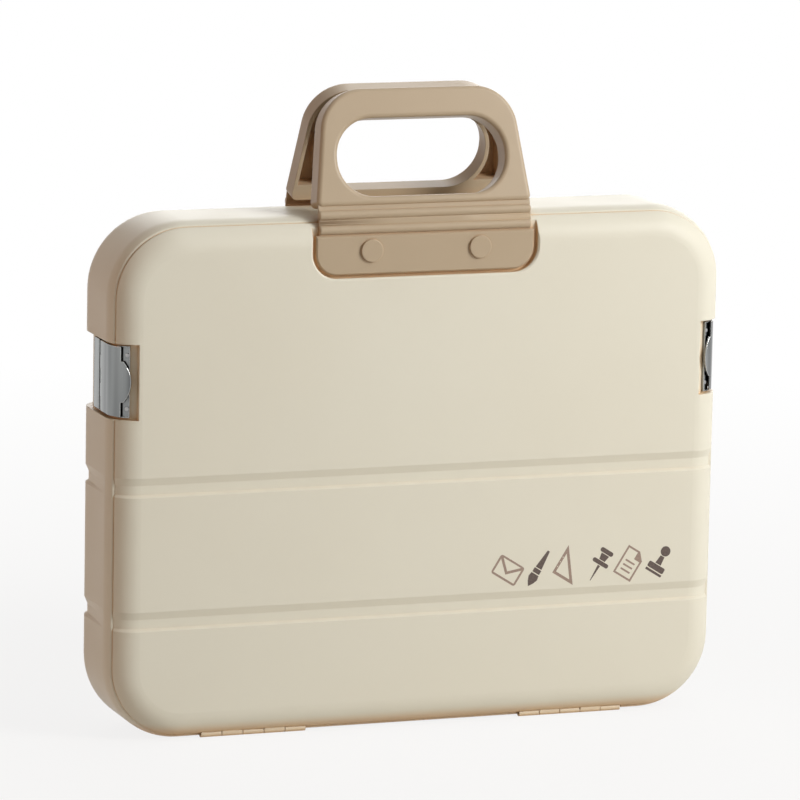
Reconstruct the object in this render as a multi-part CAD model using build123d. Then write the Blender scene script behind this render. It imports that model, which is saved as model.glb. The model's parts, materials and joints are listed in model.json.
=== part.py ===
from build123d import *
import math
import os

# Document case: two moulded plastic shells hinged along the bottom, two carrying handles that
# lean together over the top, and a snap latch in a side notch on the left and on the right.
# Millimetres. X is the width, the front faces -Y, Z is up, and the bottom rests on Z = 0.

# Case body
case_width = 350.0
case_height = 282.0
case_depth = 62.0
corner_radius = 41.0
front_round = 16.0
rear_round = 14.0
lid_depth = 8.0
shell_wall = 2.4
seam_round = 1.0

# Lip of the rear shell that stands inside the lid
lip_thickness = 1.2
lip_height = 1.9
lip_root = 3.0
lip_clearance = 0.3
lip_bottom = 34.0
lip_break = 1.5

# Two stiffening grooves round the lower part of both shells
groove_heights = (62.0, 135.0)
groove_slope = 4.2
groove_floor = 5.0
groove_lip = 1.4
groove_depth = 1.8
groove_side_depth = 1.5
groove_fade = 34.0
groove_side_run = 1.0

# Hinge along the bottom parting line
hinge_rise = 2.0
hinge_end_inset = 83.0
knuckle_count = 5
knuckle_length = 12.0
knuckle_gap = 0.4
knuckle_radius = 1.8
hinge_pin_radius = 0.9
pin_running_clearance = 0.05
knuckle_relief = 0.4
hinge_bar_rise = 8.2
hinge_bar_reach = 6.0
hinge_bar_margin = 2.0
pin_end_inset = 0.6

# Side notches and latches
latch_height = 197.5
notch_span = 41.0
notch_depth = 3.6
notch_reach = 14.0
lever_span = 38.0
lever_set_back = 0.95
lever_thickness = 0.8
latch_pivot_depth = 28.3
latch_pin_radius = 0.6
latch_knuckle_radius = 1.2
latch_knuckle_count = 5
latch_knuckle_gap = 0.4
latch_knuckle_clearance = 0.35
latch_pin_press = 0.01
lever_side_angle = 44.0
tab_angle = 50.0
tab_span = 22.0
tab_length = 4.5
tab_join = 0.4
claw_span = 17.0
claw_front = 5.2
claw_thickness = 0.9
claw_inset = 7.0
claw_width = 2.2
claw_join = 0.3
latch_zone = (10.0, 80.0)
keeper_span = 38.8
keeper_thickness = 0.8
keeper_start_angle = 33.0
keeper_end_angle = 63.5
keeper_frame_rise = 1.6
keeper_frame_thickness = 0.6
keeper_front_width = 2.0
keeper_seat_gap = 0.02
catch_clearance = 0.4
catch_thickness = 0.8
catch_inset = 5.7
catch_width = 2.0
catch_span = 21.0
leaf_span = 38.0
leaf_thickness = 0.65
leaf_cover_start = 31.5
leaf_end = 40.5
leaf_cover_inset = 1.3
leaf_rivet_spacing = 24.0
leaf_rivet_depth = 35.5
keeper_rivet_spacing = 29.0
keeper_rivet_angle = 57.0
keeper_shank_radius = 0.6
keeper_head_radius = 1.0
leaf_shank_radius = 0.9
leaf_head_radius = 1.8
rivet_head_height = 0.5
rivet_hole_clearance = 0.05
rivet_hole_length = 12.0
rivet_curve_clearance = 0.15

# Handles
handle_width = 125.0
recess_clearance = 2.0
recess_depth = 4.5
recess_drop = 32.7
recess_bevel = 0.9
recess_corner = 14.0
plate_bottom_gap = 1.7
plate_corner = 12.0
plate_set_back = 1.0
plate_bevel = 0.9
plate_rise = 7.0
handle_axis_drop = 2.5
handle_axis_depth = 3.0
handle_lean = 14.0
ridge_radius = 2.5
ridge_offset = 4.0
hinge_web = 1.2
web_gap = 0.6
ridge_width = 121.0
ridge_end_round = 1.0
grip_start = 8.5
grip_top = 71.6
grip_bottom_half = 61.5
grip_top_half = 53.5
grip_corner = 24.0
grip_bottom_corner = 3.0
grip_face = 2.0
grip_back = 10.0
grip_wall = 2.2
grip_edge = 2.4
window_half = 48.0
window_bottom = 13.4
window_top = 55.4
window_corner = 20.3
pocket_bottom = 17.0
stud_spacing = 62.0
stud_drop = 18.0
stud_cap_radius = 6.2
stud_cap_height = 1.5
stud_cap_edge = 0.5
stud_shank_radius = 2.5
stud_hole_clearance = 0.2
retainer_radius = 5.6
retainer_thickness = 1.6
retainer_fit = 0.02

# Places that follow from the sizes
front_y = -case_depth / 2
rear_y = case_depth / 2
seam_y = front_y + lid_depth
latch_pivot_inset = lever_set_back + latch_knuckle_radius
lever_radius = front_round - lever_set_back
floor_radius = front_round - notch_depth
recess_half = handle_width / 2 + recess_clearance
recess_bottom = case_height - recess_drop
stud_height = case_height - stud_drop
handle_axis_height = case_height - handle_axis_drop
hinge_centre = case_width / 2 - hinge_end_inset

# How far a cutting form runs past what it cuts, and how deep joined forms run into each other
far = 2 * case_width
overrun = 1.0
weld = 1.0

os.makedirs("parts", exist_ok=True)


def block(x0, x1, y0, y1, z0, z1):
    centre = Vector((x0 + x1) / 2, (y0 + y1) / 2, (z0 + z1) / 2)
    return Pos(centre) * Box(abs(x1 - x0), abs(y1 - y0), abs(z1 - z0))


def rod(radius, x0, x1, y, z):
    return Pos((x0 + x1) / 2, y, z) * Rot(0, 90, 0) * Cylinder(radius, x1 - x0)


# The case as one closed form, offset inwards by an inset
def case_form(inset):
    outline = RectangleRounded(
        case_width - 2 * inset, case_height - 2 * inset, corner_radius - inset
    )
    plane = Plane(origin=(0, rear_y - inset, case_height / 2), x_dir=(1, 0, 0), z_dir=(0, -1, 0))
    form = extrude(plane * outline, case_depth - 2 * inset)
    form = fillet(form.faces().sort_by(Axis.Y)[0].edges(), front_round - inset)
    return fillet(form.faces().sort_by(Axis.Y)[-1].edges(), rear_round - inset)


# Grooves: what is left inside the groove, at a share of its full depth
def lid_groove_core(share, extra):
    face_y = front_y + groove_depth * share + extra
    core = Polyline(
        (-case_width / 2 + extra, face_y),
        (case_width / 2 - extra, face_y),
        (case_width / 2 - extra, rear_y),
        (-case_width / 2 + extra, rear_y),
        close=True,
    )
    face = make_face(core)
    corners = face.vertices().sort_by(Axis.Y)[0:2]
    return fillet(corners, front_round - extra)


def rear_groove_core(share, extra):
    side = case_width / 2 - groove_side_depth * share - extra
    core = Polyline(
        (-case_width / 2 + extra, front_y),
        (-case_width / 2 + extra, rear_y - rear_round - groove_fade),
        (-side, rear_y - rear_round - groove_side_run),
        (-side, rear_y - groove_depth * share - extra),
        (side, rear_y - groove_depth * share - extra),
        (side, rear_y - rear_round - groove_side_run),
        (case_width / 2 - extra, rear_y - rear_round - groove_fade),
        (case_width / 2 - extra, front_y),
        close=True,
    )
    face = make_face(core)
    corners = face.vertices().sort_by(Axis.Y)[-2:]
    return fillet(corners, rear_round - groove_side_run - extra)


def groove_cutter(core, height, extra):
    low = height - extra
    lip_end = low + groove_lip
    floor_end = height + groove_lip + groove_floor + extra
    high = floor_end + groove_slope
    left_in = loft([Pos(0, 0, low) * core(0, extra), Pos(0, 0, lip_end) * core(1, extra)], ruled=True)
    left_in += extrude(Pos(0, 0, lip_end) * core(1, extra), floor_end - lip_end)
    left_in += loft(
        [Pos(0, 0, floor_end) * core(1, extra), Pos(0, 0, high) * core(0, extra)], ruled=True
    )
    slab = block(-far, far, -far, far, low, high)
    return slab - left_in


# Side notch: a cut of even depth under the outer face, and the wall behind it
def notch_cutter(depth, reach, span):
    core = case_plan(depth)
    low = latch_height - span / 2
    high = latch_height + span / 2
    slab = block(-far, far, -far, far, low, high)
    middle = case_width / 2 - reach
    slab -= block(-middle, middle, -far, far, low - overrun, high + overrun)
    return slab - Pos(0, 0, low - overrun) * extrude(core, span + 2 * overrun)


def case_plan(inset):
    face = make_face(
        Polyline(
            (-case_width / 2 + inset, front_y + inset),
            (case_width / 2 - inset, front_y + inset),
            (case_width / 2 - inset, rear_y - inset),
            (-case_width / 2 + inset, rear_y - inset),
            close=True,
        )
    )
    face = fillet(face.vertices().sort_by(Axis.Y)[0:2], front_round - inset)
    return fillet(face.vertices().sort_by(Axis.Y)[-2:], rear_round - inset)


# Recess for a handle plate, on the front (side -1) or on the rear (side 1)
def handle_recess(side, grow, depth):
    half = recess_half + grow
    low = recess_bottom - grow
    high = case_height + overrun
    outline = Pos(0, (low + high) / 2) * Rectangle(2 * half, high - low)
    outline = fillet(outline.vertices().sort_by(Axis.Y)[0:2], recess_corner + grow)
    outer = side * (case_depth / 2 + overrun)
    plane = Plane(origin=(0, outer, 0), x_dir=(-side, 0, 0), z_dir=(0, side, 0))
    return extrude(plane * outline, -(depth + overrun))


# Bevelled rim of the recess: a wider outline at the face that narrows as it goes in
def recess_rim(side):
    half = recess_half + recess_bevel
    low = recess_bottom - recess_bevel
    high = case_height + overrun
    outline = Pos(0, (low + high) / 2) * Rectangle(2 * half, high - low)
    outline = fillet(outline.vertices().sort_by(Axis.Y)[0:2], recess_corner + recess_bevel)
    plane = Plane(origin=(0, side * case_depth / 2, 0), x_dir=(-side, 0, 0), z_dir=(0, side, 0))
    return extrude(plane * outline, -recess_bevel, taper=45)


def stud_holes(side):
    length = 2 * (recess_depth + shell_wall + overrun)
    holes = Part()
    for x in (-stud_spacing / 2, stud_spacing / 2):
        hole = Cylinder(stud_shank_radius + stud_hole_clearance, length)
        holes += Pos(x, side * case_depth / 2, stud_height) * Rot(90, 0, 0) * hole
    return holes


# Hinge knuckles: even places belong to the rear shell, odd places to the lid
def knuckle_span(centre, index):
    start = centre - knuckle_count * knuckle_length / 2 + index * knuckle_length
    return start + knuckle_gap / 2, start + knuckle_length - knuckle_gap / 2


def hinge_knuckles(owner, side):
    knuckles = Part()
    for centre in (-hinge_centre, hinge_centre):
        for index in range(owner, knuckle_count, 2):
            x0, x1 = knuckle_span(centre, index)
            knuckles += rod(knuckle_radius, x0, x1, seam_y, hinge_rise)
            y1 = seam_y + side * knuckle_radius
            knuckles += block(x0, x1, seam_y, y1, hinge_rise, hinge_bar_rise)
    return knuckles


def hinge_reliefs(other, side):
    reliefs = Part()
    clear = knuckle_radius + knuckle_relief
    for centre in (-hinge_centre, hinge_centre):
        for index in range(other, knuckle_count, 2):
            x0, x1 = knuckle_span(centre, index)
            x0, x1 = x0 - knuckle_gap, x1 + knuckle_gap
            reliefs += rod(clear, x0, x1, seam_y, hinge_rise)
            reliefs += block(x0, x1, seam_y, seam_y + side * clear, -overrun, hinge_rise)
    return reliefs


def hinge_bores():
    bores = Part()
    reach = knuckle_count * knuckle_length / 2 + overrun
    for centre in (-hinge_centre, hinge_centre):
        radius = hinge_pin_radius + pin_running_clearance
        bores += rod(radius, centre - reach, centre + reach, seam_y, hinge_rise)
    return bores


def hinge_bars(side):
    bars = Part()
    reach = knuckle_count * knuckle_length / 2 + hinge_bar_margin
    for centre in (-hinge_centre, hinge_centre):
        y1 = seam_y + side * hinge_bar_reach
        bars += block(centre - reach, centre + reach, seam_y, y1, -overrun, hinge_bar_rise)
    return bars


def rivet_holes():
    holes = Part()
    for side in (-1, 1):
        for step in (-1, 1):
            holes += leaf_rivet_hole(side, step, leaf_shank_radius, rivet_hole_length)
            holes += keeper_rivet_hole(side, step, keeper_shank_radius, rivet_hole_length)
    return holes


def leaf_rivet_hole(side, step, shank, length):
    x = side * (case_width / 2 - notch_depth)
    z = latch_height + step * leaf_rivet_spacing / 2
    radius = shank + rivet_hole_clearance
    return Pos(x, front_y + leaf_rivet_depth, z) * Rot(0, 90, 0) * Cylinder(radius, length)


def keeper_rivet_hole(side, step, shank, length):
    z = latch_height + step * keeper_rivet_spacing / 2
    centre = Vector(side * (case_width / 2 - front_round), front_y + front_round, z)
    angle = math.radians(keeper_rivet_angle)
    out = Vector(side * math.cos(angle), -math.sin(angle), 0)
    plane = Plane(origin=centre + out * floor_radius, z_dir=out)
    return plane.location * Cylinder(shank + rivet_hole_clearance, length)


# Everything that both shells share: outer form, cavity and the walls behind each recess
full_form = case_form(0)
cavity_form = case_form(shell_wall)
lid_zone = block(-far, far, -far, seam_y, -far, far)
rear_zone = block(-far, far, seam_y, far, -far, far)

notch_cut = notch_cutter(notch_depth, notch_reach, notch_span)
notch_wall = notch_cutter(
    notch_depth + shell_wall, notch_reach + shell_wall, notch_span + 2 * shell_wall
)


def seam_rounded(half):
    seam_face = half.faces().filter_by(Axis.Y).sort_by(lambda face: abs(face.center().Y - seam_y))[0]
    return fillet(seam_face.edges(), seam_round)


def shell(zone, side, core, owner):
    outside = seam_rounded(full_form & zone)
    cavity = cavity_form & zone
    for height in groove_heights:
        outside -= groove_cutter(core, height, 0)
        cavity -= groove_cutter(core, height, shell_wall)
    outside -= notch_cut
    cavity -= notch_wall
    outside -= handle_recess(side, 0, recess_depth)
    outside -= recess_rim(side)
    cavity -= handle_recess(side, shell_wall, recess_depth + shell_wall)
    cavity -= hinge_bars(side)
    made = outside - cavity
    made -= hinge_reliefs(1 - owner, side)
    made += hinge_knuckles(owner, side)
    made -= hinge_bores()
    made -= stud_holes(side)
    made -= rivet_holes()
    return made


def lip():
    outer = case_form(shell_wall + lip_clearance)
    inner = case_form(shell_wall + lip_clearance + lip_thickness)
    ring = (outer - inner) & block(-far, far, seam_y - lip_height, seam_y + lip_root, lip_bottom, far)
    seat = (cavity_form - inner) & block(-far, far, seam_y, seam_y + lip_root, lip_bottom, far)
    ring += seat
    notch_half = notch_span / 2 + shell_wall + lip_break
    ring -= block(-far, far, -far, far, latch_height - notch_half, latch_height + notch_half)
    for height in groove_heights:
        low = height - shell_wall - lip_break
        high = height + groove_lip + groove_floor + groove_slope + shell_wall + lip_break
        ring -= block(-far, far, -far, far, low, high)
    clear = recess_half + shell_wall + lip_break
    return ring - block(-clear, clear, -far, far, recess_bottom - shell_wall - lip_break, far)


front_shell = shell(lid_zone, -1, lid_groove_core, 1)
rear_shell = shell(rear_zone, 1, rear_groove_core, 0) + lip()


def hinge_pin(centre):
    reach = knuckle_count * knuckle_length / 2 - pin_end_inset
    return rod(hinge_pin_radius, centre - reach, centre + reach, seam_y, hinge_rise)


# Handles, built for the front and turned half round for the rear
grip_tilt = math.radians(handle_lean)
handle_origin = (0, front_y + handle_axis_depth, handle_axis_height)
grip_plane = Plane(
    origin=handle_origin,
    x_dir=(1, 0, 0),
    z_dir=(0, -math.cos(grip_tilt), math.sin(grip_tilt)),
)
plate_plane = Plane(origin=handle_origin, x_dir=(1, 0, 0), z_dir=(0, -1, 0))


def grip_outline(inset):
    face = make_face(
        Polyline(
            (-grip_bottom_half + inset, grip_start + inset),
            (grip_bottom_half - inset, grip_start + inset),
            (grip_top_half - inset, grip_top - inset),
            (-grip_top_half + inset, grip_top - inset),
            close=True,
        )
    )
    face = fillet(face.vertices().sort_by(Axis.Y)[-2:], grip_corner - inset)
    return fillet(face.vertices().sort_by(Axis.Y)[0:2], grip_bottom_corner - inset)


def window_outline(grow):
    height = window_top - window_bottom + 2 * grow
    centre = (window_top + window_bottom) / 2
    return Pos(0, centre) * RectangleRounded(2 * (window_half + grow), height, window_corner + grow)


def hinge_ridge(direction):
    y = direction * ridge_offset
    ridge = Pos(0, y, 0) * Rot(0, 90, 0) * Cylinder(ridge_radius, ridge_width)
    half = ridge_width / 2
    ridge &= block(-half, half, -far, far, -hinge_web / 2, far)
    ends = ridge.faces().filter_by(Axis.X).edges().filter_by(GeomType.CIRCLE)
    return fillet(ends, ridge_end_round)


def hinge_strip(direction, length):
    half = ridge_width / 2
    start = web_gap / 2 + hinge_web / 2
    strip = block(-half, half, direction * start, direction * length, -hinge_web / 2, hinge_web / 2)
    edge = Pos(0, direction * start, 0) * Rot(0, 90, 0) * Cylinder(hinge_web / 2, ridge_width)
    return strip + edge


def handle_grip():
    body = Pos(0, 0, -grip_back) * extrude(grip_outline(0), grip_back + grip_face)
    body -= Pos(0, 0, -far) * extrude(window_outline(0), 2 * far)
    body = fillet(body.faces().sort_by(Axis.Z)[-1].edges(), grip_edge)
    pocket = grip_outline(grip_wall) - window_outline(grip_wall)
    pocket -= Rectangle(far, 2 * pocket_bottom)
    depth = grip_back + grip_face - grip_wall
    body -= Pos(0, 0, -grip_back) * extrude(pocket, depth)
    body += hinge_strip(1, grip_start + weld)
    body += hinge_ridge(1)
    return grip_plane.location * body


def handle_plate():
    low = recess_bottom + plate_bottom_gap - handle_axis_height
    high = -plate_rise
    outline = Pos(0, (low + high) / 2) * Rectangle(handle_width, high - low)
    outline = fillet(outline.vertices().sort_by(Axis.Y)[0:2], plate_corner)
    outer = handle_axis_depth - plate_set_back
    back = handle_axis_depth - recess_depth
    body = Pos(0, 0, back) * extrude(outline, outer - back)
    rim = body.faces().sort_by(Axis.Z)[-1].edges()
    body = chamfer(rim, plate_bevel)
    body += hinge_strip(-1, plate_rise + weld)
    half = ridge_width / 2
    body += block(-half, half, high - weld, weld - ridge_offset, back, 0)
    body += hinge_ridge(-1)
    placed = plate_plane.location * body
    return placed - stud_holes(-1)


def handle_studs():
    studs = Part()
    cap_y = front_y + plate_set_back
    inside_y = front_y + recess_depth + shell_wall + retainer_thickness
    for x in (-stud_spacing / 2, stud_spacing / 2):
        cap = Cylinder(stud_cap_radius, stud_cap_height)
        cap = fillet(cap.faces().sort_by(Axis.Z)[-1].edges(), stud_cap_edge)
        studs += Pos(x, cap_y - stud_cap_height / 2, stud_height) * Rot(90, 0, 0) * cap
        shank = Cylinder(stud_shank_radius, inside_y - cap_y)
        studs += Pos(x, (cap_y + inside_y) / 2, stud_height) * Rot(90, 0, 0) * shank
    return studs


def handle_retainers():
    rings = Part()
    inside_y = front_y + recess_depth + shell_wall
    for x in (-stud_spacing / 2, stud_spacing / 2):
        ring = Cylinder(retainer_radius, retainer_thickness)
        ring -= Cylinder(stud_shank_radius + retainer_fit, 2 * retainer_thickness)
        rings += Pos(x, inside_y + retainer_thickness / 2, stud_height) * Rot(90, 0, 0) * ring
    return rings


half_turn = Rot(0, 0, 180)

# Latches, built on the left side in plan: u is the distance in from the side, d from the front


def plan_point(u, d):
    return (-case_width / 2 + u, front_y + d)


def on_round(radius, angle):
    turn = math.radians(angle)
    return plan_point(front_round - radius * math.cos(turn), front_round - radius * math.sin(turn))


def arc_band(inner, outer, start, end):
    middle = (start + end) / 2
    lines = ThreePointArc(on_round(outer, start), on_round(outer, middle), on_round(outer, end))
    lines += Line(on_round(outer, end), on_round(inner, end))
    lines += ThreePointArc(on_round(inner, end), on_round(inner, middle), on_round(inner, start))
    lines += Line(on_round(inner, start), on_round(outer, start))
    return make_face(lines)


def plan_box(u0, u1, d0, d1):
    x0, y0 = plan_point(u0, d0)
    x1, y1 = plan_point(u1, d1)
    return Pos((x0 + x1) / 2, (y0 + y1) / 2) * Rectangle(x1 - x0, y1 - y0)


def lift(face, span):
    return Pos(0, 0, latch_height - span / 2) * extrude(face, span)


def latch_barrels(owner, radius):
    barrels = Part()
    length = lever_span / latch_knuckle_count
    x, y = plan_point(latch_pivot_inset, latch_pivot_depth)
    for index in range(owner, latch_knuckle_count, 2):
        z = latch_height - lever_span / 2 + (index + 0.5) * length
        barrels += Pos(x, y, z) * Cylinder(radius, length - latch_knuckle_gap)
    return barrels


def latch_rod(radius, length):
    x, y = plan_point(latch_pivot_inset, latch_pivot_depth)
    return Pos(x, y, latch_height) * Cylinder(radius, length)


# Slots in one latch piece for the knuckles of the other
def barrel_slots(other):
    slots = Part()
    length = lever_span / latch_knuckle_count
    x, y = plan_point(latch_pivot_inset, latch_pivot_depth)
    clear = latch_knuckle_radius + latch_knuckle_clearance
    for index in range(other, latch_knuckle_count, 2):
        z = latch_height - lever_span / 2 + (index + 0.5) * length
        slots += Pos(x, y, z) * Box(2 * clear, 2 * clear, length + latch_knuckle_gap)
    return slots


def latch_lever():
    outer = lever_radius
    inner = lever_radius - lever_thickness
    flat = plan_box(
        lever_set_back, lever_set_back + lever_thickness, front_round, latch_pivot_depth
    )
    body = lift(flat, lever_span) + lift(arc_band(inner, outer, 0, lever_side_angle), lever_span)
    body += lift(arc_band(inner, outer, lever_side_angle, tab_angle), tab_span)
    body -= barrel_slots(0)
    body += latch_barrels(1, latch_knuckle_radius)
    body += latch_tab()
    claw = plan_box(claw_inset - claw_width, claw_inset, claw_front, claw_front + claw_thickness)
    under = arc_band(floor_radius - claw_width, inner + claw_join, *latch_zone)
    body += lift(claw & under, claw_span)
    return body - latch_rod(latch_pin_radius + pin_running_clearance, lever_span + overrun)


# Thumb tab: runs on straight from the curve, with a bowed front edge
def latch_tab():
    turn = math.radians(tab_angle)
    along = Vector(math.sin(turn), -math.cos(turn), 0)
    outward = Vector(-math.cos(turn), -math.sin(turn), 0)
    x, y = on_round(lever_radius, tab_angle)
    plane = Plane(origin=(x, y, latch_height), x_dir=along, z_dir=outward)
    half = tab_span / 2
    bow = ThreePointArc((0, -half), (tab_length, 0), (0, half))
    rear = Line((0, half), (-tab_join, half))
    rear += Line((-tab_join, half), (-tab_join, -half))
    rear += Line((-tab_join, -half), (0, -half))
    outline = make_face(bow + rear)
    return extrude(plane * outline, -lever_thickness)


def latch_leaf():
    base_inset = notch_depth - leaf_thickness
    body = lift(plan_box(base_inset, notch_depth, latch_pivot_depth, leaf_end), leaf_span)
    cover_inner = leaf_cover_inset + leaf_thickness
    body += lift(plan_box(leaf_cover_inset, cover_inner, leaf_cover_start, leaf_end), leaf_span)
    body += lift(plan_box(leaf_cover_inset, notch_depth, leaf_end - leaf_thickness, leaf_end), leaf_span)
    body -= barrel_slots(1)
    body += latch_barrels(0, latch_knuckle_radius)
    body -= latch_rod(latch_pin_radius + latch_pin_press, leaf_span + overrun)
    for step in (-1, 1):
        body -= leaf_rivet_hole(-1, step, leaf_shank_radius, 2 * leaf_thickness + rivet_head_height)
    return body


def latch_keeper():
    seat = floor_radius + keeper_seat_gap
    face_radius = floor_radius + keeper_thickness
    frame_radius = floor_radius + keeper_frame_rise
    body = lift(arc_band(seat, face_radius, keeper_start_angle, keeper_end_angle), keeper_span)
    front_start = keeper_end_angle - keeper_front_width
    body += lift(arc_band(seat, frame_radius, front_start, keeper_end_angle), keeper_span)
    side = arc_band(seat, frame_radius, keeper_start_angle, keeper_end_angle)
    body += lift(side, keeper_span) - lift(side, keeper_span - 2 * keeper_frame_thickness)
    lip_front = claw_front + claw_thickness + catch_clearance
    lip_back = lip_front + catch_thickness
    catch = plan_box(catch_inset, catch_inset + catch_width, lip_front, lip_back)
    body += lift(catch & arc_band(seat, front_round, *latch_zone), catch_span)
    for step in (-1, 1):
        body -= keeper_rivet_hole(-1, step, keeper_shank_radius, rivet_hole_length)
    return body


def leaf_rivets():
    rivets = Part()
    x_floor = -case_width / 2 + notch_depth
    for step in (-1, 1):
        z = latch_height + step * leaf_rivet_spacing / 2
        y = front_y + leaf_rivet_depth
        head_end = x_floor - leaf_thickness
        wall_end = x_floor + shell_wall
        rivets += rod(leaf_head_radius, head_end - rivet_head_height, head_end, y, z)
        rivets += rod(leaf_shank_radius, head_end, wall_end, y, z)
        rivets += rod(leaf_head_radius, wall_end, wall_end + rivet_head_height, y, z)
    return rivets


def keeper_rivets():
    rivets = Part()
    angle = math.radians(keeper_rivet_angle)
    out = Vector(-math.cos(angle), -math.sin(angle), 0)
    for step in (-1, 1):
        z = latch_height + step * keeper_rivet_spacing / 2
        x, y = plan_point(front_round, front_round)
        outer = floor_radius + keeper_thickness + rivet_curve_clearance
        inner = floor_radius - shell_wall - rivet_curve_clearance
        for radius, low, high in (
            (keeper_head_radius, outer, outer + rivet_head_height),
            (keeper_shank_radius, inner, outer),
            (keeper_head_radius, inner - rivet_head_height, inner),
        ):
            plane = Plane(origin=Vector(x, y, z) + out * low, z_dir=out)
            rivets += extrude(plane * Circle(radius), high - low)
    return rivets


def latch_pin():
    return latch_rod(latch_pin_radius, lever_span - latch_knuckle_gap)


def other_side(shape):
    return mirror(shape, Plane.YZ)


nodes = {
    "rear_shell": rear_shell,
    "front_shell": front_shell,
    "left_hinge_pin": hinge_pin(-hinge_centre),
    "right_hinge_pin": hinge_pin(hinge_centre),
    "front_handle_grip": handle_grip(),
    "front_handle_plate": handle_plate(),
    "front_handle_studs": handle_studs(),
    "front_handle_retainers": handle_retainers(),
}
for name in ("handle_grip", "handle_plate", "handle_studs", "handle_retainers"):
    nodes["rear_" + name] = half_turn * nodes["front_" + name]

for name, shape in (
    ("latch_lever", latch_lever()),
    ("latch_leaf", latch_leaf()),
    ("latch_pin", latch_pin()),
    ("latch_keeper", latch_keeper()),
    ("leaf_rivets", leaf_rivets()),
    ("keeper_rivets", keeper_rivets()),
):
    nodes["left_" + name] = shape
    nodes["right_" + name] = other_side(shape)

for name, shape in nodes.items():
    export_step(shape, f"parts/{name}.step")
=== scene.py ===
# %% [markdown]
# # A plastic document case
#
# The case stands upright on its hinged edge. Two moulded shells meet close to the front, a handle
# rises from each of them, and a plated snap latch sits in a notch on either side. The solid parts
# come from the CAD model. This lesson gives them their finishes, adds the thin webs that let the
# handles fold, the small printed marks and the marks of the mould inside, and lights the whole.

# %% The solid parts
import json
import math

import bmesh
import bpy
from mathutils import Matrix, Vector


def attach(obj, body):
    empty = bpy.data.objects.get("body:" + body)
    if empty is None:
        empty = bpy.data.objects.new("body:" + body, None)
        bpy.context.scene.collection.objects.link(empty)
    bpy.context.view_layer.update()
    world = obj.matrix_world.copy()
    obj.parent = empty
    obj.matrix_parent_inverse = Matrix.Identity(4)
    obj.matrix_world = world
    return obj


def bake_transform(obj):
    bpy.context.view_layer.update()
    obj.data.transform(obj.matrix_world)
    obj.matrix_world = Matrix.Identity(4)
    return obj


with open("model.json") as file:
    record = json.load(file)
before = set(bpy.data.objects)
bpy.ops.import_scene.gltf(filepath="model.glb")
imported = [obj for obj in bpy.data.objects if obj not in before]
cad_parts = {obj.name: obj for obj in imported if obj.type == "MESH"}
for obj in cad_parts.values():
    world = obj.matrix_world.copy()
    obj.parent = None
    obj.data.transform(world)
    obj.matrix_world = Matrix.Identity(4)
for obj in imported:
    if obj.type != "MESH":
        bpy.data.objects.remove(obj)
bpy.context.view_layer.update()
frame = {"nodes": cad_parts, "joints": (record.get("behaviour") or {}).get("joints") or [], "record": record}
parts = frame["nodes"]
millimetre = 0.001

# %% [markdown]
# ## Camera
#
# The photograph was taken from far away with a long lens: the case's upright edges stay nearly
# parallel. Its direction, distance and slight tilt were found by matching the corners of the case
# to the picture. The camera's three axes are built from those angles, and then it is aimed so that
# the middle of the case lands where it lies in the photograph.


# %% A helper that places new objects
def add_object(name, data):
    placed = bpy.data.objects.new(name, data)
    bpy.context.scene.collection.objects.link(placed)
    return placed


# %% The camera's direction
view_left = math.radians(20.2)
view_up = math.radians(11.0)
view_roll = math.radians(1.13)

back = Vector(
    (
        -math.sin(view_left) * math.cos(view_up),
        -math.cos(view_left) * math.cos(view_up),
        math.sin(view_up),
    )
)
level = Vector((0, 0, 1)).cross(back).normalized()
upright = back.cross(level)
right = level * math.cos(view_roll) + upright * math.sin(view_roll)
upward = upright * math.cos(view_roll) - level * math.sin(view_roll)
print("looking from", [round(v, 3) for v in back])

# %% The camera's aim and lens
picture_width = 800
picture_middle = picture_width / 2
middle_pixel = (402.6, 462.6)
focal_pixels = 5915.0
view_distance = 3230 * millimetre
farthest_seen = 50000 * millimetre
case_middle = Vector((0.0, 0.0, 141 * millimetre))

aside = (middle_pixel[0] - picture_middle) / focal_pixels
below = (middle_pixel[1] - picture_middle) / focal_pixels
aim = (back + right * aside - upward * below).normalized()
right = (right - aim * right.dot(aim)).normalized()
upward = aim.cross(right)

camera_data = bpy.data.cameras.new("camera")
camera_data.sensor_width = 36.0
camera_data.lens = focal_pixels / picture_width * camera_data.sensor_width
camera_data.clip_end = farthest_seen
camera = add_object("camera", camera_data)
turned = Matrix((right, upward, aim)).transposed().to_4x4()
camera.matrix_world = Matrix.Translation(case_middle + back * view_distance) @ turned
bpy.context.scene.camera = camera
bpy.context.scene.view_settings.view_transform = "Standard"
print("lens", round(camera_data.lens, 1), "mm, camera at", [round(v, 3) for v in camera.location])

# %% [markdown]
# ## Colours and node helpers
#
# Colours are written as they look on screen, from 0 to 255, and changed to the linear values that
# the shader needs. Each finish is a small tree of nodes. Helpers that add a node, fill its sockets
# and return what it makes keep every tree short enough to read from top to bottom. The world has
# such a tree too, so what both need comes first, and what only a material has is built on it.


# %% Colours
def screen_colour(red, green, blue):
    """The linear colour for a colour on screen, by the curve of the sRGB standard."""
    linear = []
    for value in (red, green, blue):
        share = value / 255
        linear.append(share / 12.92 if share <= 0.04045 else ((share + 0.055) / 1.055) ** 2.4)
    return (*linear, 1.0)


print("middle grey", round(screen_colour(128, 128, 128)[0], 3))


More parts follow.
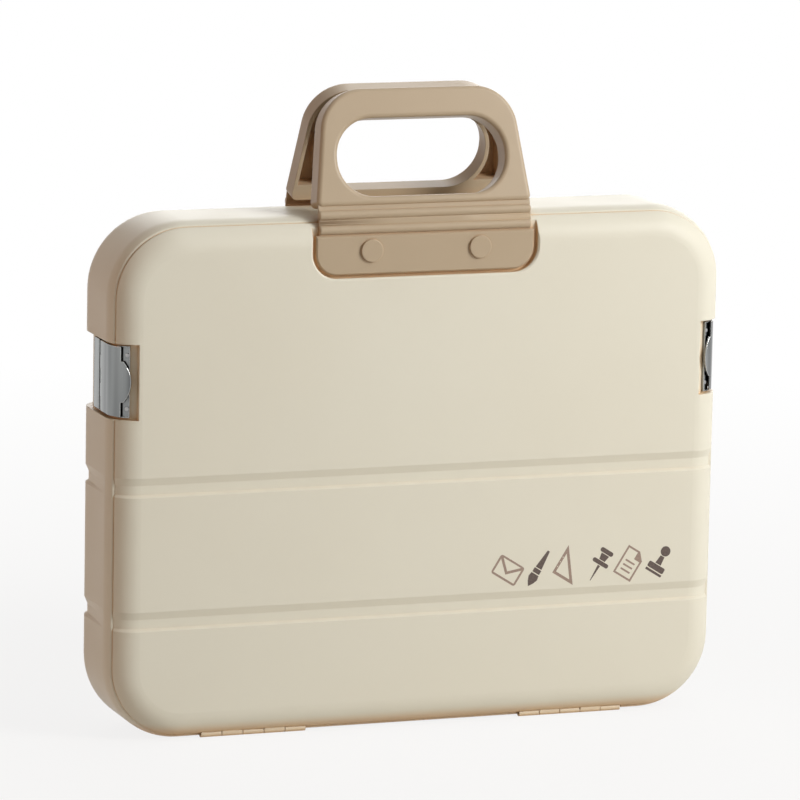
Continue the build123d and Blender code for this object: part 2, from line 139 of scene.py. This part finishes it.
# %% Node trees
class NodeTree:
    """A tree of shader nodes, with short ways to add, join and mix them."""

    def __init__(self, tree):
        self.tree = tree

    def add(self, kind, **settings):
        node = self.tree.nodes.new(kind)
        for key, value in settings.items():
            setattr(node, key, value)
        return node

    def join(self, start, end):
        self.tree.links.new(start, end)

    def calculate(self, operation, first, second):
        node = self.add("ShaderNodeMath", operation=operation)
        self.join(first, node.inputs[0])
        self.join(second, node.inputs[1])
        return node.outputs["Value"]

    def spread(self, value, low, high, start=0.3, end=0.7, **settings):
        """A value between start and end, carried over to the span from low to high."""
        node = self.add("ShaderNodeMapRange", **settings)
        node.inputs["From Min"].default_value = start
        node.inputs["From Max"].default_value = end
        node.inputs["To Min"].default_value = low
        node.inputs["To Max"].default_value = high
        self.join(value, node.inputs["Value"])
        return node.outputs["Result"]

    def blend_colours(self, share, first, second):
        """The first colour where the share is 0, the second where it is 1."""
        # A Mix node keeps sockets for each kind of value, and its colours are 6, 7 and output 2.
        node = self.add("ShaderNodeMix", data_type="RGBA")
        self.join(share, node.inputs["Factor"])
        for socket, colour in ((node.inputs[6], first), (node.inputs[7], second)):
            if isinstance(colour, tuple):
                socket.default_value = colour
            else:
                self.join(colour, socket)
        return node.outputs[2]


print("helpers for any tree", [name for name in vars(NodeTree) if not name.startswith("_")])


# %% Finishes
class Finish(NodeTree):
    """A material, with its shader and the place on the piece that its patterns follow."""

    def __init__(self, name):
        self.material = bpy.data.materials.new(name)
        self.material.use_nodes = True
        super().__init__(self.material.node_tree)
        self.shader = self.tree.nodes["Principled BSDF"]
        self.place = self.add("ShaderNodeTexCoord").outputs["Object"]

    def feed(self, name, source):
        """Joins a node's output to a socket of the shader."""
        self.join(source, self.shader.inputs[name])

    def fix(self, name, value):
        """Sets a socket of the shader to a plain value."""
        self.shader.inputs[name].default_value = value

    def noise(self, scale, detail=2.0, roughness=0.5, stretch=None):
        node = self.add("ShaderNodeTexNoise")
        node.inputs["Scale"].default_value = scale
        node.inputs["Detail"].default_value = detail
        node.inputs["Roughness"].default_value = roughness
        place = self.place
        if stretch:
            mapping = self.add("ShaderNodeMapping")
            mapping.inputs["Scale"].default_value = stretch
            self.join(self.place, mapping.inputs["Vector"])
            place = mapping.outputs["Vector"]
        self.join(place, node.inputs["Vector"])
        return node.outputs["Fac"]

    def bump(self, height, depth, normal=None, strength=1.0):
        node = self.add("ShaderNodeBump")
        node.inputs["Strength"].default_value = strength
        node.inputs["Distance"].default_value = depth
        self.join(height, node.inputs["Height"])
        if normal:
            self.join(normal, node.inputs["Normal"])
        return node.outputs["Normal"]


print("helpers for a finish", [name for name in vars(Finish) if not name.startswith("_")])

# %% [markdown]
# ## Edges and hollows
#
# Real moulded and pressed edges are never sharp, and they could be rounded in the mesh. The bevel
# node does it in the light alone: it bends the normal near an edge without adding a face. Where it
# bends the normal far from the face's own, an edge is near, and that is where a lighter colour is
# painted as a highlight. The ambient occlusion node does the opposite: it finds the gaps and
# corners that other surfaces close in, where a painted shade goes.

# %% Edges and hollows
feeler_samples = 6


def soft_edges(finish, radius):
    """The normal as it would be with every sharp edge rounded, and how near an edge is."""
    rounded = finish.add("ShaderNodeBevel", samples=feeler_samples)
    rounded.inputs["Radius"].default_value = radius
    flat = finish.add("ShaderNodeNewGeometry").outputs["Normal"]
    compare = finish.add("ShaderNodeVectorMath", operation="DOT_PRODUCT")
    finish.join(rounded.outputs["Normal"], compare.inputs[0])
    finish.join(flat, compare.inputs[1])
    # The normals' product is 0.98 where they lie 11 degrees apart, and 0.75 at 41 degrees.
    near = finish.spread(compare.outputs["Value"], 1.0, 0.0, start=0.75, end=0.98)
    return rounded.outputs["Normal"], near


def hollows(finish, reach, most, start, end):
    """How far a place is closed in by the surfaces within reach, from 0 in the open."""
    around = finish.add("ShaderNodeAmbientOcclusion", samples=feeler_samples)
    around.inputs["Distance"].default_value = reach
    return finish.spread(around.outputs["AO"], most, 0.0, start=start, end=end)


print("samples at each edge and hollow", feeler_samples)

# %% [markdown]
# ## Moulded plastic
#
# Both plastics are polypropylene with the same satin skin. The mould's own fine grain is a very
# small bump, a slow swell in the wall makes highlights wander a little, and a slightly lighter
# painted highlight, broken up by noise, runs along the edges. Where the plastic faces itself, in a
# gap or a corner, light bounces from wall to wall and comes out warmer, so a deeper, warmer painted
# shade fills the hollows.

# %% Moulded plastic
wall_gap_reach = 12 * millimetre
wall_swell = 1.2 * millimetre
mould_grain = 0.02 * millimetre


def moulded_plastic(name, body, shade, edge, painted_hollow_shade, roughness, edge_radius):
    finish = Finish(name)
    cloud = finish.spread(finish.noise(scale=7.0, detail=3.0), 0.0, 1.0)
    tone = finish.blend_colours(cloud, body, shade)
    edge_normal, near_edge = soft_edges(finish, edge_radius)
    # A lighter colour near the edges, broken up by noise, is a painted highlight.
    highlight_breakup = finish.spread(finish.noise(scale=60.0, detail=4.0), 0.25, 0.7)
    edge_highlight_share = finish.calculate("MULTIPLY", near_edge, highlight_breakup)
    in_the_open = finish.blend_colours(edge_highlight_share, tone, edge)
    # A warmer, deeper colour in the hollows is painted shade and painted bounced light.
    closed_in = hollows(finish, wall_gap_reach, most=0.85, start=0.2, end=0.8)
    finish.feed("Base Color", finish.blend_colours(closed_in, in_the_open, painted_hollow_shade))
    polish = finish.noise(scale=35.0, detail=3.0)
    finish.feed("Roughness", finish.spread(polish, roughness - 0.03, roughness + 0.04))
    swell = finish.noise(scale=12.0, detail=1.0)
    grain = finish.noise(scale=1600.0, detail=1.0)
    swollen = finish.bump(swell, wall_swell, edge_normal, strength=0.5)
    finish.feed("Normal", finish.bump(grain, mould_grain, swollen, strength=0.5))
    finish.fix("Specular IOR Level", 0.26)
    finish.fix("IOR", 1.49)
    return finish.material


# %% The two plastics
case_cream = moulded_plastic(
    "cream_case_plastic",
    body=screen_colour(225, 221, 205),
    shade=screen_colour(223, 218, 201),
    # The lighter edge colour is a painted highlight, and the warm deep colour is a painted shade for the
    # hollows.
    edge=screen_colour(235, 230, 214),
    painted_hollow_shade=screen_colour(222, 180, 126),
    roughness=0.42,
    edge_radius=0.6 * millimetre,
)
handle_beige = moulded_plastic(
    "beige_handle_plastic",
    body=screen_colour(183, 165, 140),
    shade=screen_colour(179, 160, 134),
    # The lighter edge colour is a painted highlight, and the warm deep colour is a painted shade for the
    # hollows.
    edge=screen_colour(203, 186, 161),
    painted_hollow_shade=screen_colour(190, 154, 117),
    roughness=0.34,
    edge_radius=0.5 * millimetre,
)
print("plastics", case_cream.name, handle_beige.name)

# %% [markdown]
# ## Plated and plain steel
#
# The latch is thin pressed sheet with a bright plating. Its colour is painted in upright light and
# dark bands, a painted reflection of its surroundings in a sheet bent about an upright line. Its
# cut edges get a painted highlight, and the gaps between its parts a painted shade. The pins and
# rivets are plain wire: the same metal, but with the drawn lines of the wire still on it.

# %% Metals
metal_gap_reach = 4 * millimetre
metal_edge_radius = 0.45 * millimetre


def metal(name, colour, darker_reflection_and_tone, edge, painted_gap_shade, roughness, bands, lines, line_depth, dent):
    """Bands and lines stretch a pattern along X, Y and Z: the smaller the number, the longer."""
    finish = Finish(name)
    # Light and dark colour in long upright bands is a painted reflection on the latch; unstretched, on the
    # wire, the same mix is a patchy tone.
    band = finish.noise(scale=120.0, detail=1.0, stretch=bands)
    sheet = finish.blend_colours(finish.spread(band, 0.0, 1.0), colour, darker_reflection_and_tone)
    edge_normal, near_edge = soft_edges(finish, metal_edge_radius)
    # A light colour near the edges is a painted highlight, and a dark colour in the gaps is a painted shade.
    edged = finish.blend_colours(near_edge, sheet, edge)
    closed_in = hollows(finish, metal_gap_reach, most=0.9, start=0.15, end=0.75)
    finish.feed("Base Color", finish.blend_colours(closed_in, edged, painted_gap_shade))
    polish = finish.noise(scale=140.0, detail=3.0)
    finish.feed("Roughness", finish.spread(polish, roughness * 0.85, roughness * 1.2))
    drawn = finish.noise(scale=260.0, detail=3.0, stretch=lines)
    bent = finish.noise(scale=45.0, detail=1.0)
    lined = finish.bump(drawn, line_depth, edge_normal, strength=0.4)
    finish.feed("Normal", finish.bump(bent, dent, lined, strength=0.5))
    finish.fix("Metallic", 1.0)
    return finish.material


# %% The two metals
latch_plating = metal(
    "bright_latch_plating",
    # The two main colours paint upright reflection bands, the edge colour a painted highlight and the gap
    # colour a painted shade.
    colour=screen_colour(154, 156, 155),
    darker_reflection_and_tone=screen_colour(104, 106, 106),
    edge=screen_colour(236, 236, 233),
    painted_gap_shade=screen_colour(70, 67, 62),
    roughness=0.12,
    bands=(1.0, 1.0, 0.06),
    lines=(1.0, 1.0, 14.0),
    line_depth=0.002 * millimetre,
    dent=0.03 * millimetre,
)
pin_wire = metal(
    "drawn_steel_wire",
    # The two main colours make a patchy tone, the edge colour is a painted highlight and the gap colour a
    # painted shade.
    colour=screen_colour(172, 172, 172),
    darker_reflection_and_tone=screen_colour(148, 147, 147),
    edge=screen_colour(206, 206, 205),
    painted_gap_shade=screen_colour(92, 89, 85),
    roughness=0.34,
    bands=(1.0, 1.0, 1.0),
    lines=(1.0, 12.0, 12.0),
    line_depth=0.02 * millimetre,
    dent=0.02 * millimetre,
)
print("metals", latch_plating.name, pin_wire.name)

# %% [markdown]
# ## Giving each solid part its finish
#
# The packed record already says which finish each part has, by the name of its slot. So one table
# from slot to material is enough, and the parts' own meshes aren't touched.

# %% Finishes on the solid parts
finish_of_slot = {
    "case_plastic": case_cream,
    "handle_plastic": handle_beige,
    "latch_chrome": latch_plating,
    "pin_steel": pin_wire,
}
for subpart in frame["record"]["subparts"]:
    part = parts[subpart["node"]]
    part.data.materials.clear()
    part.data.materials.append(finish_of_slot[subpart["material_slot"]])

# %% [markdown]
# ## The folding webs
#
# Each handle is one moulding. A thin web between two half-round ridges bends each time the grip
# folds out, so in the CAD model the plate and the grip end at that web, and the grip turns about
# its middle. Here the web itself is a thin strip, bent at rest by the lean of the grip. It is made
# as a closed tube of quads along the hinge line.

# %% The web's cross-section
web_reach = 2.3 * millimetre
web_half_thickness = 0.64 * millimetre
web_steps = 12
grip_lean = math.radians(14.0)
turning_point = {joint["child"]: Vector(joint["pos_m"]) for joint in frame["joints"]}


def web_profile(axis):
    """The web's closed cross-section about its axis, with its lower and upper end."""
    inward = -math.copysign(1.0, axis.y)
    down = axis - Vector((0, 0, web_reach))
    up = axis + Vector((0, inward * math.sin(grip_lean), math.cos(grip_lean))) * web_reach
    outer, inner = [], []
    for step in range(web_steps + 1):
        # A smooth curve from the lower end to the upper one, drawn towards the axis between them.
        t = step / web_steps
        point = down * (1 - t) ** 2 + axis * 2 * t * (1 - t) + up * t**2
        along = ((axis - down) * (1 - t) + (up - axis) * t).normalized()
        out = Vector((1, 0, 0)).cross(along)
        outer.append(point + out * web_half_thickness)
        inner.append(point - out * web_half_thickness)
    return outer + inner[::-1], down, up


print("the front grip turns about", [round(v, 4) for v in turning_point["front_grip"]])

# %% Folding webs
web_half_length = 60.4 * millimetre


def mesh_piece(name, mesh_build, material, smooth=True):
    data = bpy.data.meshes.new(name)
    mesh_build.to_mesh(data)
    mesh_build.free()
    data.materials.append(material)
    data.polygons.foreach_set("use_smooth", [smooth] * len(data.polygons))
    return add_object(name, data)


def folding_web(name, grip_body):
    profile, start, end = web_profile(turning_point[grip_body])
    build = bmesh.new()
    rows = []
    for x in (-web_half_length, -web_half_length / 3, web_half_length / 3, web_half_length):
        rows.append([build.verts.new((x, point.y, point.z)) for point in profile])
    count = len(profile)
    for first, second in zip(rows, rows[1:]):
        for i in range(count):
            j = (i + 1) % count
            build.faces.new((first[i], first[j], second[j], second[i]))
    build.faces.new(rows[0])
    build.faces.new(rows[-1][::-1])
    bmesh.ops.recalc_face_normals(build, faces=build.faces)
    web = mesh_piece(name, build, handle_beige)
    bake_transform(web)
    return web


for web in (
    folding_web("front_handle_web", "front_grip"),
    folding_web("rear_handle_web", "rear_grip"),
):
    print(web.name, len(web.data.vertices), "vertices")

# %% [markdown]
# ## Printed marks
#
# A row of six small marks in brown ink stands low on the right of the lid, between the two
# grooves. These are plain desk things of this lesson's own drawing. Each is a flat curve: outer
# outlines are filled, and an outline inside another cuts a hole. The curve is turned into a mesh
# before it is placed, and it is only as thick as a coat of ink. The ink covers unevenly, and its
# film dries with a fine skin.

# %% Ink
ink_skin = 0.015 * millimetre


def printing_ink(name, colour, thin):
    finish = Finish(name)
    cover = finish.noise(scale=900.0, detail=5.0, roughness=0.65)
    uneven = finish.spread(cover, 0.0, 1.0, start=0.45, end=0.75)
    finish.feed("Base Color", finish.blend_colours(uneven, colour, thin))
    finish.feed("Roughness", finish.spread(finish.noise(scale=400.0), 0.42, 0.58))
    finish.feed("Normal", finish.bump(finish.noise(scale=2500.0, detail=3.0), ink_skin))
    return finish.material


dark_ink = printing_ink("dark_brown_ink", screen_colour(84, 70, 64), screen_colour(106, 91, 82))
light_ink = printing_ink(
    "light_brown_ink", screen_colour(148, 126, 112), screen_colour(166, 147, 131)
)
print("inks", dark_ink.name, light_ink.name)


# %% Round and rounded outlines, in millimetres
def arc(radius, centre=(0, 0), start=0, turn=360, steps=36):
    """Points on an arc of so many degrees, or on a whole circle with its last point left out."""
    count = steps if turn == 360 else steps + 1
    angles = [math.radians(start + turn * i / steps) for i in range(count)]
    return [(centre[0] + radius * math.cos(a), centre[1] + radius * math.sin(a)) for a in angles]


def rounded_bar(half_width, half_height, corner, centre=(0, 0)):
    points = []
    for quarter, (side, rise) in enumerate(((1, 1), (-1, 1), (-1, -1), (1, -1))):
        corner_middle = (
            centre[0] + side * (half_width - corner),
            centre[1] + rise * (half_height - corner),
        )
        points += arc(corner, corner_middle, start=90 * quarter, turn=90, steps=6)
    return points


print("points in a circle", len(arc(1)), "and in a bar", len(rounded_bar(2, 1, 0.5)))

# %% Outlines of the marks, in millimetres
envelope = [
    rounded_bar(8.2, 5.9, 1.5),
    [(-6.1, 4.8), (6.1, 4.8), (0, -0.7)],
    [(-7.0, 3.6), (-7.0, -4.7), (7.0, -4.7), (7.0, 3.6), (0, -2.7)],
]
brush = [
    [(-0.7, 11.2), (0.7, 11.2), (2.0, 0.2), (-2.0, 0.2)],
    rounded_bar(2.3, 1.3, 0.3, (0, -1.6)),
    [(-2.4, -3.5), (2.4, -3.5), (2.9, -6.0), (1.8, -8.6), (0, -11.2), (-1.8, -8.6), (-2.9, -6.0)],
]
set_square = [
    [(-6.8, -7.4), (7.6, -7.4), (-6.8, 10.2)],
    [(-5.2, -5.8), (4.2, -5.8), (-5.2, 5.7)],
    *([(-6.2, y), (-6.2, y - 0.5), (-5.6, y - 0.5), (-5.6, y)] for y in (0.2, 3.2, -2.8)),
]
drawing_pin = [
    rounded_bar(4.2, 1.3, 1.2, (0, 8.4)),
    [(-2.6, 6.7), (2.6, 6.7), (1.9, 3.0), (-1.9, 3.0)],
    rounded_bar(5.2, 1.2, 1.1, (0, 1.4)),
    [(-0.8, -0.2), (0.8, -0.2), (0.2, -9.8), (-0.2, -9.8)],
]
folded_page = [
    [(-6.0, -8.6), (6.0, -8.6), (6.0, 4.4), (2.0, 8.6), (-6.0, 8.6)],
    [(-4.9, -7.5), (4.9, -7.5), (4.9, 3.3), (1.1, 3.3), (1.1, 7.5), (-4.9, 7.5)],
    *(rounded_bar(3.2, 0.5, 0.45, (0, y)) for y in (0.8, -1.9, -4.6)),
]
rubber_stamp = [
    arc(2.9, (0, 6.6)),
    [(-1.3, 3.4), (1.3, 3.4), (1.9, -1.6), (-1.9, -1.6)],
    rounded_bar(5.4, 1.7, 0.9, (0, -3.7)),
    rounded_bar(5.4, 0.7, 0.4, (0, -6.7)),
]
mark_row = (
    ("mark_envelope", envelope, light_ink),
    ("mark_brush", brush, dark_ink),
    ("mark_set_square", set_square, light_ink),
    ("mark_drawing_pin", drawing_pin, dark_ink),
    ("mark_folded_page", folded_page, light_ink),
    ("mark_rubber_stamp", rubber_stamp, dark_ink),
)
print("outlines", sum(len(outlines) for name, outlines, ink in mark_row))


# %% Flat drawings and plain meshes
ink_thickness = 0.03 * millimetre


def flat_drawing(name, outlines):
    """A filled curve in the outlines' own millimetres, as thick as the ink."""
    curve = bpy.data.curves.new(name, "CURVE")
    curve.dimensions = "2D"
    curve.fill_mode = "BOTH"
    curve.extrude = ink_thickness / millimetre
    for outline in outlines:
        spline = curve.splines.new("POLY")
        spline.points.add(len(outline) - 1)
        for point, (x, y) in zip(spline.points, outline):
            point.co = (x, y, 0, 1)
        spline.use_cyclic_u = True
    return add_object(name, curve)


def plain_mesh(source):
    """The mesh that an object's curve or modifier makes. The object itself is removed."""
    bpy.context.view_layer.update()
    evaluated = source.evaluated_get(bpy.context.evaluated_depsgraph_get())
    data = bpy.data.meshes.new_from_object(evaluated)
    bpy.data.objects.remove(source)
    return data


print("ink", round(ink_thickness / millimetre, 3), "mm thick")

# %% Marks on the lid
lid_face = -31.0 * millimetre
row_start = 51.0 * millimetre
row_spacing = 17.9 * millimetre
row_height = 84.5 * millimetre
row_lean = math.radians(32.0)


def printed_mark(name, outlines, ink, across):
    data = plain_mesh(flat_drawing(name, outlines))
    shrink = Matrix.Scale(millimetre, 4)
    lean = Matrix.Rotation(-row_lean, 4, "Z")
    stand_up = Matrix.Rotation(math.radians(90), 4, "X")
    place = Matrix.Translation((across, lid_face, row_height))
    data.transform(place @ stand_up @ lean @ shrink)
    data.materials.clear()
    data.materials.append(ink)
    mark = add_object(name, data)
    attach(mark, "lid")
    return mark


for index, (name, outlines, ink) in enumerate(mark_row):
    mark = printed_mark(name, outlines, ink, across=row_start + index * row_spacing)
    print(mark.name, len(mark.data.polygons), "faces")

# %% [markdown]
# ## Marks of the mould
#
# Inside, each shell shows the faint round lines that the ejector pins of the mould leave. They
# repeat in a regular grid, so a geometry nodes tree places them: a grid of points, one thin ring
# on each, made real at the end because the export keeps no instances. The tree's inputs are its
# sizes, and the group's own values are those of the rear shell.

# %% What the tree is made of
ejector_inputs = (
    ("Width", "NodeSocketFloat", 240 * millimetre),
    ("Height", "NodeSocketFloat", 205 * millimetre),
    ("Columns", "NodeSocketInt", 5),
    ("Rows", "NodeSocketInt", 4),
    ("Mark Radius", "NodeSocketFloat", 4 * millimetre),
    ("Line Radius", "NodeSocketFloat", 0.22 * millimetre),
)
ejector_nodes = (
    ("in", "NodeGroupInput"),
    ("grid", "GeometryNodeMeshGrid"),
    ("circle", "GeometryNodeCurvePrimitiveCircle"),
    ("line", "GeometryNodeCurvePrimitiveCircle"),
    ("tube", "GeometryNodeCurveToMesh"),
    ("copies", "GeometryNodeInstanceOnPoints"),
    ("real", "GeometryNodeRealizeInstances"),
    ("stand", "GeometryNodeTransform"),
    ("paint", "GeometryNodeSetMaterial"),
    ("out", "NodeGroupOutput"),
)
ejector_links = (
    ("in", "Width", "grid", "Size X"),
    ("in", "Height", "grid", "Size Y"),
    ("in", "Columns", "grid", "Vertices X"),
    ("in", "Rows", "grid", "Vertices Y"),
    ("in", "Mark Radius", "circle", "Radius"),
    ("in", "Line Radius", "line", "Radius"),
    ("circle", "Curve", "tube", "Curve"),
    ("line", "Curve", "tube", "Profile Curve"),
    ("grid", "Mesh", "copies", "Points"),
    ("tube", "Mesh", "copies", "Instance"),
    ("copies", "Instances", "stand", "Geometry"),
    ("stand", "Geometry", "real", "Geometry"),
    ("real", "Geometry", "paint", "Geometry"),
    ("paint", "Geometry", "out", "Geometry"),
)
print("tree of", len(ejector_nodes), "nodes and", len(ejector_links), "links")


# %% Ejector marks
def ejector_tree(material):
    tree = bpy.data.node_groups.new("ejector_marks", "GeometryNodeTree")
    for name, kind, value in ejector_inputs:
        socket = tree.interface.new_socket(name, in_out="INPUT", socket_type=kind)
        socket.default_value = value
    tree.interface.new_socket("Geometry", in_out="OUTPUT", socket_type="NodeSocketGeometry")
    made = {key: tree.nodes.new(kind) for key, kind in ejector_nodes}
    made["circle"].inputs["Resolution"].default_value = 28
    made["line"].inputs["Resolution"].default_value = 6
    made["stand"].inputs["Rotation"].default_value = (math.radians(90), 0, 0)
    made["paint"].inputs["Material"].default_value = material
    for start, output, end, socket in ejector_links:
        tree.links.new(made[start].outputs[output], made[end].inputs[socket])
    return tree


marks_tree = ejector_tree(case_cream)
columns_socket = next(
    item.identifier for item in marks_tree.interface.items_tree if item.name == "Columns"
)
print("tree", marks_tree.name, len(marks_tree.nodes), "nodes")

# %% Ejector marks in both shells
inner_wall = 28.6 * millimetre
marks_middle = 132.5 * millimetre


def marks_on_wall(name, wall_depth, body, columns):
    holder = add_object(name, bpy.data.meshes.new(name))
    modifier = holder.modifiers.new("marks", "NODES")
    modifier.node_group = marks_tree
    modifier[columns_socket] = columns
    data = plain_mesh(holder)
    data.transform(Matrix.Translation((0, wall_depth, marks_middle)))
    data.polygons.foreach_set("use_smooth", [True] * len(data.polygons))
    piece = add_object(name, data)
    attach(piece, body)
    return piece


for piece in (
    marks_on_wall("rear_ejector_marks", inner_wall, "case", columns=5),
    marks_on_wall("lid_ejector_marks", -inner_wall, "lid", columns=4),
):
    print(piece.name, len(piece.data.polygons), "faces")

# %% [markdown]
# ## Floor and light
#
# The photograph's ground is plain white. More light could wash the floor out, but it would wash
# out the pale case too. So the floor and the world are shown as white to the camera, and to the
# rays that a mirror or glass passes on, while they light the object at a plain level. The floor is
# a wide pale disc: near the case it keeps a share of its own shading, which holds the shadow, and
# with distance it fades into full white.


# %% Floor
def seen_in_picture(nodes):
    """1 for the camera's rays and for those passed on by a mirror or glass, 0 for all others."""
    rays = nodes.add("ShaderNodeLightPath").outputs
    passed_on = nodes.calculate("MAXIMUM", rays["Is Glossy Ray"], rays["Is Transmission Ray"])
    return nodes.calculate("MAXIMUM", rays["Is Camera Ray"], passed_on)


floor_radius = 9000 * millimetre
floor_build = bmesh.new()
bmesh.ops.create_circle(floor_build, cap_ends=True, segments=96, radius=floor_radius)
ground = Finish("pale_floor")
floor = mesh_piece("floor", floor_build, ground.material, smooth=False)
print("floor radius", floor_radius, "m")

# %% White on the floor
fade_start = 250 * millimetre
fade_end = 1100 * millimetre
ground.fix("Base Color", screen_colour(214, 210, 204))
ground.fix("Roughness", 0.9)
ground.fix("Specular IOR Level", 0.1)
white = ground.add("ShaderNodeEmission")
white.inputs["Strength"].default_value = 1.0
length = ground.add("ShaderNodeVectorMath", operation="LENGTH")
ground.join(ground.place, length.inputs[0])
fade = ground.spread(length.outputs["Value"], 0.84, 1.0, start=fade_start, end=fade_end)
mix = ground.add("ShaderNodeMixShader")
ground.join(ground.calculate("MULTIPLY", seen_in_picture(ground), fade), mix.inputs["Fac"])
ground.join(ground.shader.outputs["BSDF"], mix.inputs[1])
ground.join(white.outputs["Emission"], mix.inputs[2])
ground.join(mix.outputs[0], ground.tree.nodes["Material Output"].inputs["Surface"])
print("white from", fade_start, "to", fade_end, "m")

# %% [markdown]
# The world lights the object softly from all round. In the photograph the left side of the case
# is brown and shaded, so the surroundings are dimmer and warmer on the left.

# %% World
world = bpy.data.worlds.new("studio")
world.use_nodes = True
bpy.context.scene.world = world
sky = NodeTree(world.node_tree)
direction = sky.add("ShaderNodeTexCoord").outputs["Generated"]
axes = sky.add("ShaderNodeSeparateXYZ")
sky.join(direction, axes.inputs[0])
rightward = sky.spread(
    axes.outputs["X"], 0.0, 1.0, start=-0.8, end=0.8, interpolation_type="SMOOTHSTEP"
)
tint = sky.blend_colours(rightward, screen_colour(176, 160, 142), screen_colour(250, 249, 247))
ambient = sky.tree.nodes["Background"]
ambient.inputs["Strength"].default_value = 0.30
sky.join(tint, ambient.inputs["Color"])
seen_white = sky.add("ShaderNodeBackground")
seen_white.inputs["Color"].default_value = (1.0, 1.0, 1.0, 1.0)
seen_white.inputs["Strength"].default_value = 1.0
pick = sky.add("ShaderNodeMixShader")
sky.join(seen_in_picture(sky), pick.inputs["Fac"])
sky.join(ambient.outputs[0], pick.inputs[1])
sky.join(seen_white.outputs[0], pick.inputs[2])
sky.join(pick.outputs[0], sky.tree.nodes["World Output"].inputs["Surface"])
print("world", ambient.inputs["Strength"].default_value)

# %% [markdown]
# The main lamp stands close, to the right and above, so the face grows darker towards the left as
# it does in the photograph. A small warm lamp on the left keeps the shaded side brown instead of
# grey. A weak lamp overhead lifts the edges that face upward, and one more lights the back. All
# are wide discs, whose shadows have soft edges.


# %% Lamps
def soft_lamp(name, place, size, power, colour=(1.0, 1.0, 1.0), aim_height=0.15):
    """A disc lamp aimed at a point above the middle of the floor, in metres and watts."""
    data = bpy.data.lights.new(name, "AREA")
    data.shape = "DISK"
    data.size = size
    data.energy = power
    data.color = colour
    lamp = add_object(name, data)
    lamp.location = place
    facing = Vector((0, 0, aim_height)) - Vector(place)
    lamp.rotation_euler = facing.to_track_quat("-Z", "Y").to_euler()
    return lamp


warm_light = (1.0, 0.5, 0.26)
lamps = (
    soft_lamp("lamp_right", (1.1, -1.2, 0.95), size=0.8, power=25.2),
    soft_lamp("lamp_left", (-1.8, 0.1, 0.5), size=0.8, power=4.0, colour=warm_light),
    soft_lamp("lamp_top", (0.2, -0.25, 1.5), size=0.9, power=2.5, aim_height=0.2),
    soft_lamp("lamp_rear", (0.7, 1.6, 0.8), size=1.6, power=12.0),
)
print("lamps", len(lamps), "with", round(sum(lamp.data.energy for lamp in lamps), 1), "W")

# %% [markdown]
